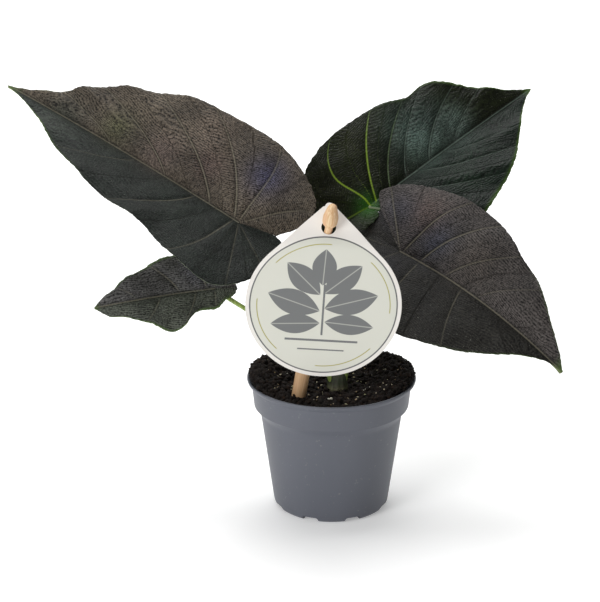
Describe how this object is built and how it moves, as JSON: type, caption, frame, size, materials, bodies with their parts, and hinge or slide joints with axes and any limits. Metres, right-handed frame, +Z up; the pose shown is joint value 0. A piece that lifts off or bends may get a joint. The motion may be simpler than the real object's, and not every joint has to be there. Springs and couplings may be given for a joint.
{
  "type": "potted velvet alocasia",
  "caption": "Dark velvet-leaved alocasia with peltate, folded leaves on long green stalks, in a tapered plastic nursery pot of soil, with a drop-shaped card on a wooden stick.",
  "frame": {"origin": "centre of the pot's base, on the face it stands on", "axes": "+Z up along the pot's axis, -Y towards the front where the card faces, +X to the plant's right as seen from the front"},
  "size_m": [0.3885, 0.2052, 0.2905],
  "materials": {
    "pot_plastic": "matte, slightly grained",
    "soil": "rough, crumbly",
    "stem_green": "satin",
    "leaf_dark": "velvety",
    "leaf_green": "velvety, slightly glossy",
    "stick_wood": "raw, sanded",
    "card": "satin coated"
  },
  "bodies": {
    "root": {"pot": "pot_plastic", "soil": "soil", "crown": "stem_green", "petiole_a": "stem_green", "petiole_b": "stem_green", "petiole_c": "stem_green", "petiole_d": "stem_green", "leaf_a": "leaf_dark", "leaf_b": "leaf_green", "leaf_c": "leaf_dark", "leaf_d": "leaf_dark", "label_stick": "stick_wood", "label_card": "card"}
  },
  "joints": []
}
